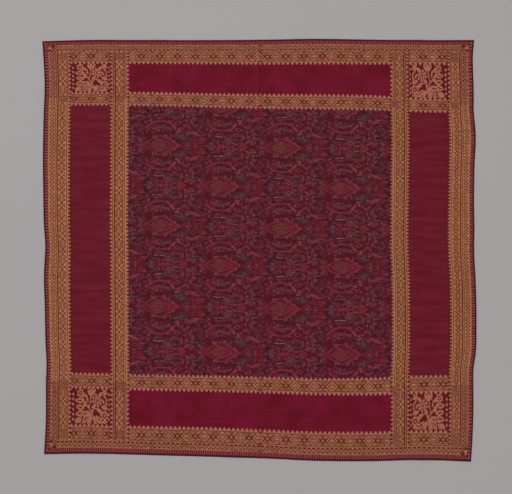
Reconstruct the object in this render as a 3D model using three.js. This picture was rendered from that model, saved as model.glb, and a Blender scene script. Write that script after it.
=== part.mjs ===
import * as THREE from 'three';

// A square silk headcloth laid out flat, one sheet in one piece.
// Millimetres, +Z up, +Y towards the top edge of the cloth, underside on Z = 0.

const THICKNESS = 1.5;

// Where the four corners lie, from the middle of the cloth.
const CORNERS = {
  topLeft: { x: -435.0, y: 418.6 },
  topRight: { x: 429.2, y: 421.0 },
  bottomLeft: { x: -431.6, y: -408.8 },
  bottomRight: { x: 423.0, y: -423.8 },
};

// How the edges wander from the straight line between their corners.
// along: share of the edge, from its left or top end. out: away from the cloth's middle.
const LEFT_EDGE = [
  { along: 0.06, out: -2.6 },
  { along: 0.13, out: -4.8 },
  { along: 0.18, out: -2.2 },
  { along: 0.25, out: 0.0 },
  { along: 0.31, out: 0.8 },
  { along: 0.37, out: 0.0 },
  { along: 0.46, out: -1.4 },
  { along: 0.52, out: -3.8 },
  { along: 0.59, out: -1.2 },
  { along: 0.66, out: -3.0 },
  { along: 0.75, out: -4.8 },
  { along: 0.81, out: -6.4 },
  { along: 0.86, out: -4.2 },
  { along: 0.94, out: -2.4 },
];
const RIGHT_EDGE = [
  { along: 0.05, out: -2.0 },
  { along: 0.11, out: 0.4 },
  { along: 0.15, out: -0.9 },
  { along: 0.22, out: 3.8 },
  { along: 0.3, out: 3.2 },
  { along: 0.34, out: 2.0 },
  { along: 0.4, out: 2.6 },
  { along: 0.47, out: 4.0 },
  { along: 0.51, out: 3.2 },
  { along: 0.58, out: 7.4 },
  { along: 0.7, out: 10.0 },
  { along: 0.77, out: 6.0 },
  { along: 0.81, out: 2.6 },
  { along: 0.89, out: 5.0 },
  { along: 0.96, out: 1.2 },
];
const TOP_EDGE = [
  { along: 0.06, out: 2.4 },
  { along: 0.2, out: 1.9 },
  { along: 0.26, out: 1.3 },
  { along: 0.45, out: 1.1 },
  { along: 0.54, out: 2.1 },
  { along: 0.67, out: 3.6 },
  { along: 0.74, out: 1.8 },
  { along: 0.82, out: 0.1 },
  { along: 0.94, out: -0.5 },
];
const BOTTOM_EDGE = [
  { along: 0.05, out: -2.2 },
  { along: 0.13, out: -3.1 },
  { along: 0.24, out: -2.4 },
  { along: 0.32, out: -1.5 },
  { along: 0.43, out: -1.0 },
  { along: 0.5, out: -0.5 },
  { along: 0.6, out: 3.7 },
  { along: 0.71, out: 2.8 },
  { along: 0.84, out: 0.0 },
  { along: 0.88, out: -2.0 },
  { along: 0.95, out: 0.0 },
];

// Old fold lines that still stand a little proud. at: share of the width or depth.
const CREASE_HALF_WIDTH = 6;
const UPRIGHT_CREASES = [
  { at: 0.252, height: 0.8 },
  { at: 0.502, height: 1.1 },
  { at: 0.741, height: 0.5 },
];
const LEVEL_CREASES = [
  { at: 0.249, height: 0.5 },
  { at: 0.493, height: 0.7 },
];

// Ripples where an edge stands off the surface and dies away inwards.
// along: share of the edge. half: half its width. reach: how far it runs inwards.
const SIDE_RIPPLES = [
  { edge: 'left', along: 0.13, half: 34, reach: 62, height: 2.4 },
  { edge: 'left', along: 0.52, half: 30, reach: 50, height: 1.9 },
  { edge: 'left', along: 0.8, half: 46, reach: 74, height: 3.2 },
  { edge: 'right', along: 0.06, half: 28, reach: 46, height: 1.6 },
  { edge: 'right', along: 0.15, half: 30, reach: 52, height: 2.0 },
  { edge: 'right', along: 0.34, half: 30, reach: 46, height: 1.5 },
  { edge: 'right', along: 0.5, half: 28, reach: 44, height: 1.4 },
  { edge: 'right', along: 0.81, half: 38, reach: 66, height: 2.8 },
  { edge: 'top', along: 0.27, half: 36, reach: 40, height: 1.2 },
  { edge: 'top', along: 0.86, half: 44, reach: 50, height: 1.7 },
  { edge: 'bottom', along: 0.12, half: 40, reach: 50, height: 1.6 },
  { edge: 'bottom', along: 0.45, half: 50, reach: 40, height: 1.2 },
  { edge: 'bottom', along: 0.88, half: 38, reach: 54, height: 2.0 },
];

// Spacing of the lines that the sheet is faceted along.
const COLUMN_STEP = 29;
const ROW_STEP = 19;
const CLEAR_OF_CREASE = 8;

const WIDTH = CORNERS.topRight.x - CORNERS.topLeft.x;
const DEPTH = CORNERS.topLeft.y - CORNERS.bottomLeft.y;

function wander(table) {
  const stations = [{ along: 0, out: 0 }, ...table, { along: 1, out: 0 }];
  return (along) => {
    const last = stations.length - 2;
    const found = stations.findIndex((station, i) => i <= last && along <= stations[i + 1].along);
    const i = found < 0 ? last : found;
    const before = stations[Math.max(i - 1, 0)];
    const start = stations[i];
    const end = stations[i + 1];
    const after = stations[Math.min(i + 2, last + 1)];
    const span = end.along - start.along;
    const t = (along - start.along) / span;
    const slopeIn = ((end.out - before.out) / (end.along - before.along)) * span;
    const slopeOut = ((after.out - start.out) / (after.along - start.along)) * span;
    return (
      (2 * t ** 3 - 3 * t ** 2 + 1) * start.out +
      (t ** 3 - 2 * t ** 2 + t) * slopeIn +
      (3 * t ** 2 - 2 * t ** 3) * end.out +
      (t ** 3 - t ** 2) * slopeOut
    );
  };
}

const leftWander = wander(LEFT_EDGE);
const rightWander = wander(RIGHT_EDGE);
const topWander = wander(TOP_EDGE);
const bottomWander = wander(BOTTOM_EDGE);

// The place of a point of the cloth, from across, 0 at the left, and down, 0 at the top.
function plan(across, down) {
  const { topLeft, topRight, bottomLeft, bottomRight } = CORNERS;
  const mix = THREE.MathUtils.lerp;
  const straightX = mix(mix(topLeft.x, topRight.x, across), mix(bottomLeft.x, bottomRight.x, across), down);
  const straightY = mix(mix(topLeft.y, topRight.y, across), mix(bottomLeft.y, bottomRight.y, across), down);
  return {
    x: straightX + mix(-leftWander(down), rightWander(down), across),
    y: straightY + mix(topWander(across), -bottomWander(across), down),
  };
}

function softRidge(offset, half) {
  return Math.abs(offset) < half ? Math.cos((offset / half) * (Math.PI / 2)) ** 2 : 0;
}

function rippleLift({ edge, along, half, reach, height }, across, down) {
  const inwards = {
    left: across * WIDTH,
    right: (1 - across) * WIDTH,
    top: down * DEPTH,
    bottom: (1 - down) * DEPTH,
  }[edge];
  const upright = edge === 'left' || edge === 'right';
  const offset = upright ? (down - along) * DEPTH : (across - along) * WIDTH;
  const fade = Math.max(0, 1 - inwards / reach) ** 2;
  return height * fade * softRidge(offset, half);
}

function lift(across, down) {
  const parts = [
    ...UPRIGHT_CREASES.map(({ at, height }) => height * softRidge((across - at) * WIDTH, CREASE_HALF_WIDTH)),
    ...LEVEL_CREASES.map(({ at, height }) => height * softRidge((down - at) * DEPTH, CREASE_HALF_WIDTH)),
    ...SIDE_RIPPLES.map((ripple) => rippleLift(ripple, across, down)),
  ];
  return Math.max(...parts);
}

// Shares of a length: even steps, and each crease with its two feet.
function facetLines(length, step, creases) {
  const feet = CREASE_HALF_WIDTH / length;
  const clear = (CREASE_HALF_WIDTH + CLEAR_OF_CREASE) / length;
  const count = Math.round(length / step);
  const even = Array.from({ length: count + 1 }, (_, i) => i / count);
  const kept = even.filter((share) => creases.every(({ at }) => Math.abs(share - at) > clear));
  const folded = creases.flatMap(({ at }) => [at - feet, at, at + feet]);
  return [...kept, ...folded].sort((a, b) => a - b);
}

function sheetGeometry() {
  const columns = facetLines(WIDTH, COLUMN_STEP, UPRIGHT_CREASES);
  const rows = facetLines(DEPTH, ROW_STEP, LEVEL_CREASES);
  const positions = [];
  for (const rise of [0, THICKNESS]) {
    for (const down of rows) {
      for (const across of columns) {
        const { x, y } = plan(across, down);
        positions.push(x, y, lift(across, down) + rise);
      }
    }
  }

  const faces = [];
  const topStart = rows.length * columns.length;
  const quad = (a, b, c, d) => faces.push(a, b, c, a, c, d);
  for (let row = 0; row + 1 < rows.length; row += 1) {
    for (let column = 0; column + 1 < columns.length; column += 1) {
      const far = row * columns.length + column;
      const near = far + columns.length;
      quad(far, far + 1, near + 1, near);
      quad(topStart + far, topStart + near, topStart + near + 1, topStart + far + 1);
    }
    const left = row * columns.length;
    const right = left + columns.length - 1;
    quad(left, left + columns.length, topStart + left + columns.length, topStart + left);
    quad(right + columns.length, right, topStart + right, topStart + right + columns.length);
  }
  for (let column = 0; column + 1 < columns.length; column += 1) {
    const bottom = (rows.length - 1) * columns.length + column;
    quad(column + 1, column, topStart + column, topStart + column + 1);
    quad(bottom, bottom + 1, topStart + bottom + 1, topStart + bottom);
  }

  const geometry = new THREE.BufferGeometry();
  geometry.setAttribute('position', new THREE.Float32BufferAttribute(positions, 3));
  geometry.setIndex(faces);
  return geometry;
}

// The sheet with the middle of its box over the origin and its underside on Z = 0.
function makeHeadcloth() {
  const geometry = sheetGeometry();
  geometry.computeBoundingBox();
  const { min, max } = geometry.boundingBox;
  geometry.translate(-(min.x + max.x) / 2, -(min.y + max.y) / 2, -min.z);
  geometry.computeVertexNormals();
  const silk = new THREE.MeshStandardMaterial({ color: 0x6a1828, roughness: 0.72, metalness: 0 });
  const headcloth = new THREE.Mesh(geometry, silk);
  headcloth.name = 'headcloth';
  return headcloth;
}

const part = new THREE.Group();
part.add(makeHeadcloth());

export default part;
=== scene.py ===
import math

import bpy
import numpy as np
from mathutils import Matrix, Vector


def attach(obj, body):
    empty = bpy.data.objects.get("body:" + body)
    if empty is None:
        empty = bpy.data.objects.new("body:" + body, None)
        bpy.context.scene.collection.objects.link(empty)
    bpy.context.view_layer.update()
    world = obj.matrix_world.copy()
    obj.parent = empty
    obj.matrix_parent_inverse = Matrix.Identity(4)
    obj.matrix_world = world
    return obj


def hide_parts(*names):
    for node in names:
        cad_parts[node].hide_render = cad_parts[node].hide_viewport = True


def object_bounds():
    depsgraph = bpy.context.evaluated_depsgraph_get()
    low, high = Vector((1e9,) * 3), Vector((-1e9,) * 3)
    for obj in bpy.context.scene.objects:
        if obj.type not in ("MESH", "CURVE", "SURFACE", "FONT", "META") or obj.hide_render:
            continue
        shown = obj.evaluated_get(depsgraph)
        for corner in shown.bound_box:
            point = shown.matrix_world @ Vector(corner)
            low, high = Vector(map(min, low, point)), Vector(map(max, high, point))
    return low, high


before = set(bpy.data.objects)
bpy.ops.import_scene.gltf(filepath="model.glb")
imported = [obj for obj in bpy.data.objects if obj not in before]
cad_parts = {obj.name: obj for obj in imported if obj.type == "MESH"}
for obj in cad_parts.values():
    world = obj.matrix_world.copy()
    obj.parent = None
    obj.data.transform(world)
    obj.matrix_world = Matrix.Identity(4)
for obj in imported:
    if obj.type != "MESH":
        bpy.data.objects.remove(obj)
cad_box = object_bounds()

# Lengths are millimetres until a mesh is made. X and Y are the cloth's own, from the middle of its box.
MM = 0.001
chance = np.random.default_rng(1907)

# The loom's chart: columns are groups of warp threads, counted from the left edge, and
# rows are passes of weft, counted from the top edge.
COLUMNS = 764
ROWS = 853
REPEAT = 32
OUTER_WIDE = 50
INNER_WIDE = 34
OUTER_DEEP = 55
INNER_DEEP = 35
INNER_LEFT = 122
INNER_RIGHT = 616
INNER_TOP = 107
INNER_FOOT = 702

# Where each upright line of the chart lies, and how far it follows the wander of each edge.
UPRIGHT_LINES = (
    # column, x, follows left, follows right
    (48, -380.9, 0.5, 0.0),
    (124, -296.9, 0.25, 0.0),
    (154, -263.6, 0.2, 0.0),
    (386, -2.9, 0.0, 0.0),
    (618, 263.6, 0.0, 0.28),
    (648, 296.9, 0.0, 0.3),
    (716, 379.1, 0.0, 0.45),
)

# Where each level line of the chart lies, at stations across the cloth: the top edge, the feet
# of the top band and panel, the field's head, a line within it and its foot, and so on down.
LEVEL_ROWS = (0, 52.5, 109.5, 139.5, 307.5, 704.5, 734.5, 800.5, 853)
LEVEL_LINES = (
    # x, y of each row above
    (-434, 417.8, 374.6, 314.7, 291.2, 135.8, -246.3, -274.0, -349.7, -408.2),
    (-338, 420.4, 374.6, 314.7, 291.2, 135.6, -247.1, -275.0, -350.1, -406.8),
    (-246, 420.2, 374.6, 314.5, 290.2, 134.1, -249.7, -278.2, -353.3, -409.0),
    (-102, 420.0, 374.0, 311.7, 287.2, 130.8, -252.1, -280.8, -356.1, -413.0),
    (6, 420.8, 373.2, 310.3, 284.6, 128.0, -254.7, -283.8, -360.5, -416.2),
    (114, 422.6, 374.0, 309.5, 283.4, 125.9, -257.7, -287.2, -364.7, -421.2),
    (222, 421.0, 373.6, 307.7, 281.6, 124.8, -256.5, -288.0, -365.1, -422.0),
    (326, 420.0, 373.0, 301.9, 277.4, 123.0, -252.1, -285.0, -362.1, -419.6),
    (428, 420.2, 372.6, 301.1, 276.2, 122.2, -251.9, -284.6, -363.5, -423.2),
)

# The side edges run straight from corner to corner, but for how far they stand out.
LEFT_CORNERS = (-434.2, -430.8)
RIGHT_CORNERS = (429.2, 423.0)
LEFT_EDGE = (
    # share of the way down, out
    (0.0, 0.0), (0.06, -2.6), (0.13, -4.5), (0.18, -2.4), (0.25, -0.8), (0.31, 0.0), (0.37, -0.5),
    (0.46, -1.4), (0.52, -4.2), (0.59, -1.2), (0.66, -2.6), (0.75, -3.8), (0.81, -6.0),
    (0.86, -4.6), (0.94, -3.4), (1.0, 0.0),
)
RIGHT_EDGE = (
    # share of the way down, out
    (0.0, 0.0), (0.05, -2.6), (0.11, -0.2), (0.15, -0.4), (0.22, 4.6), (0.3, 2.8), (0.34, 2.0),
    (0.4, 2.4), (0.47, 3.6), (0.51, 3.0), (0.58, 6.4), (0.7, 9.0), (0.77, 8.0),
    (0.81, 3.4), (0.89, 4.2), (0.96, 2.2), (1.0, 0.0),
)

# Old fold lines that stand a little proud.
CREASE_HALF_WIDTH = 8.0
UPRIGHT_CREASES = (
    # share of the width, height
    (0.252, 0.7),
    (0.502, 0.9),
    (0.741, 0.4),
)
LEVEL_CREASES = (
    # share of the depth, height
    (0.249, 0.4),
    (0.493, 0.5),
)

# Where an old fold shows as a thin dark line in a panel: painted shade of the crease.
FOLD_SHADE_WIDE = 1.3
FOLD_SHADE_LINES = (
    # column, first row, last row, how dark
    (388.7, 56, 108, 1.0),
    (193.0, 56, 108, 0.35),
    (573.8, 738, 798, 0.45),
)

# Ripples where an edge stands off the surface and dies away inwards.
RIPPLES = (
    # edge, share along it, half width, reach inwards, height
    ("left", 0.13, 34, 62, 2.4),
    ("left", 0.52, 30, 50, 1.9),
    ("left", 0.8, 46, 74, 3.2),
    ("right", 0.06, 28, 46, 1.6),
    ("right", 0.15, 30, 52, 2.0),
    ("right", 0.34, 30, 46, 1.5),
    ("right", 0.5, 28, 44, 1.4),
    ("right", 0.81, 38, 66, 2.8),
    ("top", 0.27, 36, 40, 1.2),
    ("top", 0.86, 44, 50, 1.7),
    ("foot", 0.12, 40, 50, 1.6),
    ("foot", 0.45, 50, 40, 1.2),
    ("foot", 0.88, 38, 54, 2.0),
)
WIDTH = 864.0
DEPTH = 838.0
# How far the cloth is drawn to the left near half its depth, and each column's share of that.
WAIST = 2.5
WAIST_SHARES = ((0, 0.0), (48, 0.3), (124, 0.5), (616, 0.5), (716, 1.0), (764, 0.0))

CLOTH_THICK = 0.9
HEM_THICK = 1.7
HEM_WIDE = 3.6
# The share of its thickness that the very edge has, and how wide a column and a row are about there.
EDGE_SHARE = 0.35
COLUMN_WIDE = 1.12
ROW_DEEP = 0.95
NODE_STEP = 4
EDGE_NODES = (0.0, 0.5, 1.2, 2.0, 2.8, 3.4)


def smooth(x, knots, values):
    """A smooth curve through the values at the knots, read at each x."""
    knots = np.asarray(knots, float)
    values = np.asarray(values, float)
    slopes = np.gradient(values, knots)
    i = np.clip(np.searchsorted(knots, x) - 1, 0, len(knots) - 2)
    span = knots[i + 1] - knots[i]
    t = np.clip((x - knots[i]) / span, 0, 1)
    return (
        (2 * t**3 - 3 * t**2 + 1) * values[i]
        + (t**3 - 2 * t**2 + t) * span * slopes[i]
        + (3 * t**2 - 2 * t**3) * values[i + 1]
        + (t**3 - t**2) * span * slopes[i + 1]
    )


def between(x, knots, values):
    """Straight lines between values that are arrays, one for each knot, read at each x."""
    found = np.zeros(np.broadcast(x, values[0]).shape)
    for i in range(len(knots) - 1):
        share = (x - knots[i]) / (knots[i + 1] - knots[i])
        line = values[i] + share * (values[i + 1] - values[i])
        reached = x >= knots[i] if i else True
        found = np.where(reached, line, found)
    return found


def soft_ridge(offset, half):
    return np.where(np.abs(offset) < half, np.cos(offset / half * math.pi / 2) ** 2, 0.0)


def lay_out(columns, rows):
    """The plan, in X and Y, of points of the chart."""
    down = rows / ROWS
    left_out = smooth(down, *zip(*LEFT_EDGE))
    right_out = smooth(down, *zip(*RIGHT_EDGE))
    left = LEFT_CORNERS[0] + down * (LEFT_CORNERS[1] - LEFT_CORNERS[0]) - left_out
    right = RIGHT_CORNERS[0] + down * (RIGHT_CORNERS[1] - RIGHT_CORNERS[0]) + right_out
    knots = [0.0] + [line[0] for line in UPRIGHT_LINES] + [float(COLUMNS)]
    lines = [x - left_out * by_left + right_out * by_right for _, x, by_left, by_right in UPRIGHT_LINES]
    x = between(columns, knots, [left] + lines + [right])
    x = x - WAIST * soft_ridge(down - 0.47, 0.13) * np.interp(columns, *zip(*WAIST_SHARES))
    stations, *levels = zip(*LEVEL_LINES)
    y = between(rows, LEVEL_ROWS, [smooth(x, stations, level) for level in levels])
    return x, y


def lift(x, y):
    """How far the cloth's underside stands off the surface."""
    across = x / WIDTH + 0.5
    down = 0.5 - y / DEPTH
    parts = [np.zeros(x.shape)]
    for at, height in UPRIGHT_CREASES:
        parts.append(height * soft_ridge((across - at) * WIDTH, CREASE_HALF_WIDTH))
    for at, height in LEVEL_CREASES:
        parts.append(height * soft_ridge((down - at) * DEPTH, CREASE_HALF_WIDTH))
    inwards = {
        "left": across * WIDTH,
        "right": (1 - across) * WIDTH,
        "top": down * DEPTH,
        "foot": (1 - down) * DEPTH,
    }
    for edge, at, half, reach, height in RIPPLES:
        offset = (down - at) * DEPTH if edge in ("left", "right") else (across - at) * WIDTH
        fade = np.clip(1 - inwards[edge] / reach, 0, 1) ** 2
        parts.append(height * fade * soft_ridge(offset, half))
    return np.max(parts, axis=0)


def waviness(x, y):
    """A faint unevenness all over, from 0 up."""
    total = np.zeros(x.shape)
    waves = 9
    for _ in range(waves):
        angle, phase = chance.uniform(0, 2 * math.pi, 2)
        length = chance.uniform(45, 160)
        total += np.sin((x * math.cos(angle) + y * math.sin(angle)) * 2 * math.pi / length + phase)
    return 0.12 * (total / math.sqrt(waves) + 2).clip(0, 4)


def node_lines(count):
    """Lines of the sheet's mesh along one way of the chart, closer together at its hems."""
    inner = np.arange(NODE_STEP, count - NODE_STEP + 1, NODE_STEP)
    near = np.array(EDGE_NODES)
    return np.unique(np.concatenate([near, inner, count - near]))


def thickness(columns, rows):
    """The cloth's thickness, with its narrow rolled hem."""
    from_side = np.minimum(columns, COLUMNS - columns) * COLUMN_WIDE
    from_end = np.minimum(rows, ROWS - rows) * ROW_DEEP
    inwards = np.minimum(from_side, from_end)
    roll = np.sqrt(np.clip(1 - (2 * inwards / HEM_WIDE - 1) ** 2, 0, 1))
    edge = np.where(inwards < 0.01, EDGE_SHARE, 1.0)
    return np.where(inwards < HEM_WIDE, np.maximum(CLOTH_THICK, HEM_THICK * roll), CLOTH_THICK) * edge


fold_lines = [column + side * FOLD_SHADE_WIDE for column, *_ in FOLD_SHADE_LINES for side in (-1, 0, 1)]
node_columns = np.unique(np.concatenate([node_lines(COLUMNS), fold_lines]))
node_rows = node_lines(ROWS)
grid_columns, grid_rows = np.meshgrid(node_columns, node_rows)
grid_x, grid_y = lay_out(grid_columns, grid_rows)
cad_middle = (cad_box[0] + cad_box[1]) / 2 / MM
grid_x += cad_middle.x - (grid_x.min() + grid_x.max()) / 2
grid_y += cad_middle.y - (grid_y.min() + grid_y.max()) / 2
grid_under = lift(grid_x, grid_y) + waviness(grid_x, grid_y)
grid_under -= grid_under.min()
grid_over = grid_under + thickness(grid_columns, grid_rows)
grid_top = np.stack([grid_x, grid_y, grid_over], axis=-1)


def surface(columns, rows, above=0.0):
    """Points on the cloth's upper face, or above it, from the chart."""
    across = np.interp(columns, node_columns, np.arange(len(node_columns)))
    down = np.interp(rows, node_rows, np.arange(len(node_rows)))
    i = np.minimum(across.astype(int), len(node_columns) - 2)
    j = np.minimum(down.astype(int), len(node_rows) - 2)
    s = (across - i)[..., None]
    t = (down - j)[..., None]
    upper = grid_top[j, i] * (1 - s) + grid_top[j, i + 1] * s
    lower = grid_top[j + 1, i] * (1 - s) + grid_top[j + 1, i + 1] * s
    point = upper * (1 - t) + lower * t
    point[..., 2] += above
    return point


# Shapes in a plane, each True where a point lies within.

def turned(x, y, cx, cy, turn):
    """Place from a middle, along and across a direction in degrees."""
    c = math.cos(math.radians(turn))
    s = math.sin(math.radians(turn))
    return (x - cx) * c + (y - cy) * s, (y - cy) * c - (x - cx) * s


def oval(x, y, cx, cy, rx, ry, turn=0.0):
    along, across = turned(x, y, cx, cy, turn)
    return (along / rx) ** 2 + (across / ry) ** 2 < 1


def rhomb(x, y, cx, cy, rx, ry):
    return np.abs(x - cx) / rx + np.abs(y - cy) / ry < 1


def leaf(x, y, cx, cy, half, wide, turn=0.0):
    """A pointed leaf."""
    along, across = turned(x, y, cx, cy, turn)
    return np.abs(across) < wide * np.clip(1 - (along / half) ** 2, 0, 1)


def petals(x, y, cx, cy, inner, outer, count, turn=0.0):
    """A flower's round petals, which reach from inner to outer."""
    angle = np.arctan2(y - cy, x - cx) + math.radians(turn)
    edge = inner + (outer - inner) * np.abs(np.cos(angle * count / 2)) ** 0.7
    return np.hypot(x - cx, y - cy) < edge


def stroke(x, y, wide, *points):
    """A line of even width through points."""
    near = np.full(np.shape(x), np.inf)
    for (x0, y0), (x1, y1) in zip(points, points[1:]):
        length = (x1 - x0) ** 2 + (y1 - y0) ** 2
        share = np.clip(((x - x0) * (x1 - x0) + (y - y0) * (y1 - y0)) / length, 0, 1)
        near = np.minimum(near, np.hypot(x - x0 - share * (x1 - x0), y - y0 - share * (y1 - y0)))
    return near < wide / 2


def arch(x, y, cx, cy, rx, ry, wide, start, end):
    """Part of an oval ring, between two angles in degrees."""
    reach = np.hypot((x - cx) / rx, (y - cy) / ry)
    angle = np.degrees(np.arctan2((y - cy) / ry, (x - cx) / rx)) % 360
    return (np.abs(reach - 1) * math.sqrt(rx * ry) < wide / 2) & (angle >= start) & (angle <= end)


# Charts of the woven bands. i runs along a band, j across it from its outer side, and n is its depth.

def plain(i, j, n):
    return np.zeros(np.broadcast(i, j).shape, bool)


def solid(i, j, n):
    return ~plain(i, j, n)


def comb(i, j, n):
    pitch = 4 if n > 6 else 6
    return (i % pitch < pitch / 2) & (j >= 0)


def teeth(i, j, n):
    half = 2.9 if n > 4 else 2.6
    return np.abs((i + 0.5) % 8 - 4) < half * np.sqrt(1 - ((j + 0.9) / n) ** 2)


def teeth_outwards(i, j, n):
    return teeth(i, n - 1 - j, n)


def trellis(i, j, n):
    """Small lozenges, with a dark spot at the outer end of each and a dark tooth at the inner end."""
    aside = np.abs((i + 4) % 8 - 4)
    outer = 0.25 * n
    inner = 0.75 * n
    middle = (outer + inner) / 2
    down = j + 0.5
    spot = (aside < 1.6) & (np.abs(down - outer) < (1.2 if n > 12 else 0.9))
    tooth = (np.abs(down - inner) < (1.6 if n > 12 else 1.1)) & (aside < 1.0 + 0.8 * (down - inner + 1.2))
    lines = np.abs(aside + np.abs(down - middle) * 8 / (inner - outer) - 4) < 0.7
    return ~(spot | tooth | lines)


# Reach along the band of a large lozenge's sides, of the ring in it and of the lines beyond it,
# and that of the brighter gold.
LOZENGE_HALF = 11.4
RING_HALF = 6.4
FAR_HALF = 20.6
BRIGHT_HALF = 10.5


def from_lozenge(i, j, n):
    """Places along and aside from a large lozenge's middle, and the slope of its sides."""
    along = np.abs((i + REPEAT // 2) % REPEAT - REPEAT // 2)
    return along, np.abs(j - (n - 1) / 2), 0.92 if n > 15 else 1.25


def lozenge(i, j, n):
    """Large lozenges with small ones between, drawn by crossing lines."""
    along, aside, slope = from_lozenge(i, j, n)
    from_tip = np.abs(along - LOZENGE_HALF)
    in_line = np.abs(along + slope * aside - LOZENGE_HALF) < (1.0 if n > 15 else 1.25)
    out_line = np.abs(along - slope * aside - LOZENGE_HALF) < 0.9
    far_line = np.abs(along + slope * aside - FAR_HALF) < 0.9
    cross = (np.abs(from_tip - 0.5 * aside) < 0.7) & (aside < (5.0 if n > 15 else 1.0))
    knot = cross | ((from_tip < 1.2) & (aside < 1.6))
    ring = np.abs(along + slope * aside - RING_HALF) < 0.8
    bars = (np.abs(aside - 1.8) < 0.8) & (along < 2.6)
    return ~(in_line | out_line | far_line | knot | ring | bars)


def lattice(i, j):
    return ((i + j) % 5 != 0) & ((i - j) % 5 != 0)


OUTER_LEVEL = (
    (plain, 4), (comb, 7), (trellis, 15), (solid, 1), (plain, 1), (solid, 1),
    (lozenge, 17), (solid, 1), (plain, 1), (solid, 2), (teeth, 5),
)
INNER_LEVEL = (
    (teeth_outwards, 5), (solid, 2), (plain, 1), (solid, 1),
    (lozenge, 17), (solid, 1), (plain, 1), (solid, 2), (teeth, 5),
)
OUTER_UPRIGHT = (
    (plain, 3), (comb, 6), (solid, 1), (trellis, 12), (plain, 1), (solid, 2), (plain, 2), (solid, 1),
    (lozenge, 13), (solid, 2), (plain, 1), (solid, 2), (teeth, 4),
)
INNER_UPRIGHT = (
    (teeth_outwards, 4), (solid, 1), (plain, 1), (solid, 2), (plain, 2),
    (lozenge, 13), (plain, 1), (solid, 2), (plain, 1), (solid, 3), (teeth, 4),
)
UPRIGHT_BANDS = (
    # first column, width, profile, mirrored, rows in a repeat, and the rows of three lozenges:
    # one by the top panel, one by the field and one by the foot panel
    (0, OUTER_WIDE, OUTER_UPRIGHT, False, 32, (71, 179, 774)),
    (INNER_LEFT, INNER_WIDE, INNER_UPRIGHT, False, 32, (71, 179, 774)),
    (INNER_RIGHT, INNER_WIDE, INNER_UPRIGHT, True, 30, (70, 181, 768)),
    (COLUMNS - OUTER_WIDE, OUTER_WIDE, OUTER_UPRIGHT, True, 29, (72, 186, 772)),
)
UPRIGHT_SECTIONS = ((0, 122), (122, 720), (720, ROWS))
MIDDLE_LOZENGE = 386
LEVEL_SPANS = (
    # first column, last column, column of a lozenge
    (OUTER_WIDE, INNER_LEFT, 71),
    (INNER_LEFT + INNER_WIDE, INNER_RIGHT, MIDDLE_LOZENGE),
    (INNER_RIGHT + INNER_WIDE, COLUMNS - OUTER_WIDE, 657),
)
# The strips of an outer band that run on past the bands which meet it.
EDGE_DEEP = 26
EDGE_WIDE = 23
# The strips of large lozenges near the top and the left edge, which cross in fine lattice.
LOZENGE_ROWS = ((29, 46), (INNER_TOP + 9, INNER_TOP + 26))
LOZENGE_COLUMNS = ((29, 42), (INNER_LEFT + 10, INNER_LEFT + 23))

# Numbers in the chart of gold: bright thread; softer thread, darker and pinker, which over the level bands
# is a painted difference in sheen; then thread that more and more of the silk blushes through.
BRIGHT = 1
SOFT = 2
BLUSHED = 3
DIM = 4
TONES = {comb: DIM, teeth: BLUSHED, teeth_outwards: BLUSHED}


def lozenge_tones(i, j, n):
    """Bright thread in the large lozenges, and softer thread round those of a level band."""
    along, aside, slope = from_lozenge(i, j, n)
    return np.where(along + slope * aside < BRIGHT_HALF, BRIGHT, SOFT if n > 15 else BRIGHT)


def band(profile, i, tone=BRIGHT):
    """A band's chart, its strips one under another, at places i along it."""
    strips = []
    for strip, n in profile:
        places = i[None, :], np.arange(n)[:, None], n
        tones = lozenge_tones(*places) if strip is lozenge else TONES.get(strip, tone)
        strips.append(strip(*places) * tones)
    return np.concatenate(strips)


def weave_bands():
    """The chart of gold thread over the cloth, with 0 where there is none."""
    gold = np.zeros((ROWS, COLUMNS), int)
    for first, wide, profile, mirrored, pitch, starts in UPRIGHT_BANDS:
        for (top, foot), start in zip(UPRIGHT_SECTIONS, starts):
            # bright beside the field, and softer beside the panels
            tone = BRIGHT if foot - top > 200 else SOFT
            strip = band(profile, (np.arange(top, foot) - start) * REPEAT / pitch, tone).T
            gold[top:foot, first:first + wide] = strip[:, ::-1] if mirrored else strip
    for first, last, centre in LEVEL_SPANS:
        places = np.arange(first, last) - centre
        # The level bands take softer gold, darker and pinker than the upright bands: a painted difference
        # in sheen.
        outer = band(OUTER_LEVEL, places, SOFT)
        inner = band(INNER_LEVEL, places, SOFT)
        gold[:OUTER_DEEP, first:last] = outer
        gold[-OUTER_DEEP:, first:last] = outer[::-1]
        gold[INNER_TOP:INNER_TOP + INNER_DEEP, first:last] = inner
        gold[INNER_FOOT:INNER_FOOT + INNER_DEEP, first:last] = inner[::-1]
    return gold


def weave_crossings(gold):
    """Fine lattice where two bands cross, and the edge strips that run past."""
    across = LOZENGE_COLUMNS + tuple((COLUMNS - last, COLUMNS - first) for first, last in LOZENGE_COLUMNS)
    down = LOZENGE_ROWS + tuple((ROWS - last, ROWS - first) for first, last in LOZENGE_ROWS)
    for left, right in across:
        for top, foot in down:
            lines = lattice(*np.meshgrid(np.arange(right - left), np.arange(foot - top)))
            gold[top:foot, left:right] = lines * SOFT
    places = np.arange(EDGE_WIDE, COLUMNS - EDGE_WIDE) - MIDDLE_LOZENGE
    edge = band(OUTER_LEVEL, places, SOFT)[:EDGE_DEEP]
    gold[:EDGE_DEEP, EDGE_WIDE:-EDGE_WIDE] = edge
    gold[-EDGE_DEEP:, EDGE_WIDE:-EDGE_WIDE] = edge[::-1]


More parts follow.
